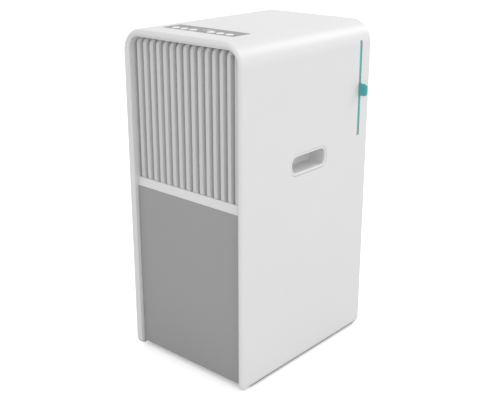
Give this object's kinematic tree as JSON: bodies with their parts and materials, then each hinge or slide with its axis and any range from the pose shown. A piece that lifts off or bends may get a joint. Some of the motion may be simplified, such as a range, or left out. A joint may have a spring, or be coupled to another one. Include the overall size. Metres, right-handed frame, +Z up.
{
  "type": "dehumidifier",
  "caption": "Upright household dehumidifier with a pull-out water bucket, front louvres, side grips, top button strip, sliding filter and hidden casters.",
  "frame": {"origin": "middle of the base pan's flat underside, level with the shell's lower edge; the caster wheels reach 5 mm below it", "axes": "+Z up, -Y out of the front with the louvres and the bucket, +X towards the side with the filter's pull tab"},
  "size_m": [0.2945, 0.364, 0.6257],
  "materials": {
    "shell_white": "satin moulded white plastic with a fine grain",
    "grille_grey": "satin light grey plastic",
    "panel_grey": "even matte mid grey plastic",
    "strip_grey": "matte light grey overlay",
    "display_grey": "smooth translucent grey window",
    "led_clear": "clear light guide",
    "button_white": "smooth white plastic",
    "filter_teal": "satin teal plastic",
    "mesh_dark": "woven filter mesh",
    "pan_dark": "dark grey plastic",
    "inner_grey": "plain grey plastic",
    "fan_grey": "dark plastic",
    "tank_clear": "milky translucent plastic",
    "handle_grey": "light grey plastic",
    "float_white": "white foam-filled plastic",
    "fin_aluminium": "thin pressed fins",
    "copper": "drawn copper tube",
    "steel": "bright steel",
    "motor_black": "satin black paint",
    "rubber_black": "black rubber",
    "board_green": "circuit board",
    "capacitor": "drawn can",
    "caster_grey": "dark plastic",
    "wheel_grey": "hard rubber tread"
  },
  "bodies": {
    "housing": {"outer_shell": "shell_white", "base_pan": "pan_dark", "front_grille": "grille_grey", "rear_panel": "shell_white", "rear_screws": "steel", "partition_wall": "inner_grey", "mid_deck": "inner_grey", "handle_cup_right": "shell_white", "handle_cup_left": "shell_white", "control_strip": "strip_grey", "display_window": "display_grey", "status_leds": "led_clear", "control_board": "board_green", "evaporator_fins": "fin_aluminium", "evaporator_tubes": "copper", "condenser_fins": "fin_aluminium", "condenser_tubes": "copper", "fan_shroud": "pan_dark", "fan_motor": "motor_black", "motor_bracket": "steel", "compressor": "motor_black", "accumulator": "copper", "terminal_cover": "pan_dark", "compressor_grommets": "rubber_black", "compressor_bolts": "steel", "suction_pipe": "copper", "discharge_pipe": "copper", "capillary_tube": "copper", "drip_tray": "inner_grey", "drain_spigot": "inner_grey", "level_switch": "pan_dark", "electronics_box": "inner_grey", "run_capacitor": "capacitor", "cord_gland": "rubber_black", "humidity_sensor": "board_green"},
    "tank": {"tank_body": "tank_clear", "front_panel": "panel_grey", "tank_lid": "tank_clear", "float_pin": "steel"},
    "bucket_handle": {"tank_handle": "handle_grey"},
    "float": {"float": "float_white"},
    "fan": {"fan_wheel": "fan_grey", "motor_shaft": "steel"},
    "filter": {"filter_frame": "filter_teal", "filter_mesh": "mesh_dark"},
    "button_1": {"button_1": "button_white"},
    "button_2": {"button_2": "button_white"},
    "button_3": {"button_3": "button_white"},
    "button_4": {"button_4": "button_white"},
    "button_5": {"button_5": "button_white"},
    "button_6": {"button_6": "button_white"},
    "caster_fr": {"caster_fork_fr": "caster_grey"},
    "wheel_fr": {"caster_wheel_fr": "wheel_grey"},
    "caster_fl": {"caster_fork_fl": "caster_grey"},
    "wheel_fl": {"caster_wheel_fl": "wheel_grey"},
    "caster_rr": {"caster_fork_rr": "caster_grey"},
    "wheel_rr": {"caster_wheel_rr": "wheel_grey"},
    "caster_rl": {"caster_fork_rl": "caster_grey"},
    "wheel_rl": {"caster_wheel_rl": "wheel_grey"}
  },
  "joints": [
    {"name": "bucket_slide", "type": "slide", "parent": "housing", "child": "tank", "axis": [0, -1, 0], "range_m": [0, 0.19]},
    {"name": "bucket_handle_swing", "type": "hinge", "parent": "tank", "child": "bucket_handle", "pos_m": [0, -0.077, 0.259], "axis": [-1, 0, 0], "range_deg": [0, 90]},
    {"name": "float_swing", "type": "hinge", "parent": "tank", "child": "float", "pos_m": [0.07, 0.0015, 0.222], "axis": [-1, 0, 0], "range_deg": [0, 22]},
    {"name": "fan_spin", "type": "hinge", "parent": "housing", "child": "fan", "pos_m": [0, 0.056, 0.4835], "axis": [0, 1, 0], "continuous": true},
    {"name": "filter_slide", "type": "slide", "parent": "housing", "child": "filter", "axis": [1, 0, 0], "range_m": [0, 0.25]},
    {"name": "button_1_press", "type": "slide", "parent": "housing", "child": "button_1", "axis": [0, 0, -1], "range_m": [0, 0.0008], "stiffness_N_per_m": 800, "springref_m": -0.0004},
    {"name": "button_2_press", "type": "slide", "parent": "housing", "child": "button_2", "axis": [0, 0, -1], "range_m": [0, 0.0008], "stiffness_N_per_m": 800, "springref_m": -0.0004},
    {"name": "button_3_press", "type": "slide", "parent": "housing", "child": "button_3", "axis": [0, 0, -1], "range_m": [0, 0.0008], "stiffness_N_per_m": 800, "springref_m": -0.0004},
    {"name": "button_4_press", "type": "slide", "parent": "housing", "child": "button_4", "axis": [0, 0, -1], "range_m": [0, 0.0008], "stiffness_N_per_m": 800, "springref_m": -0.0004},
    {"name": "button_5_press", "type": "slide", "parent": "housing", "child": "button_5", "axis": [0, 0, -1], "range_m": [0, 0.0008], "stiffness_N_per_m": 800, "springref_m": -0.0004},
    {"name": "button_6_press", "type": "slide", "parent": "housing", "child": "button_6", "axis": [0, 0, -1], "range_m": [0, 0.0008], "stiffness_N_per_m": 800, "springref_m": -0.0004},
    {"name": "caster_fr_swivel", "type": "hinge", "parent": "housing", "child": "caster_fr", "pos_m": [0.1045, -0.1255, 0.03], "axis": [0, 0, 1], "continuous": true},
    {"name": "wheel_fr_roll", "type": "hinge", "parent": "caster_fr", "child": "wheel_fr", "pos_m": [0.1045, -0.1175, 0.0065], "axis": [1, 0, 0], "continuous": true},
    {"name": "caster_fl_swivel", "type": "hinge", "parent": "housing", "child": "caster_fl", "pos_m": [-0.1045, -0.1255, 0.03], "axis": [0, 0, 1], "continuous": true},
    {"name": "wheel_fl_roll", "type": "hinge", "parent": "caster_fl", "child": "wheel_fl", "pos_m": [-0.1045, -0.1175, 0.0065], "axis": [1, 0, 0], "continuous": true},
    {"name": "caster_rr_swivel", "type": "hinge", "parent": "housing", "child": "caster_rr", "pos_m": [0.1045, 0.1445, 0.03], "axis": [0, 0, 1], "continuous": true},
    {"name": "wheel_rr_roll", "type": "hinge", "parent": "caster_rr", "child": "wheel_rr", "pos_m": [0.1045, 0.1525, 0.0065], "axis": [1, 0, 0], "continuous": true},
    {"name": "caster_rl_swivel", "type": "hinge", "parent": "housing", "child": "caster_rl", "pos_m": [-0.1045, 0.1445, 0.03], "axis": [0, 0, 1], "continuous": true},
    {"name": "wheel_rl_roll", "type": "hinge", "parent": "caster_rl", "child": "wheel_rl", "pos_m": [-0.1045, 0.1525, 0.0065], "axis": [1, 0, 0], "continuous": true}
  ]
}
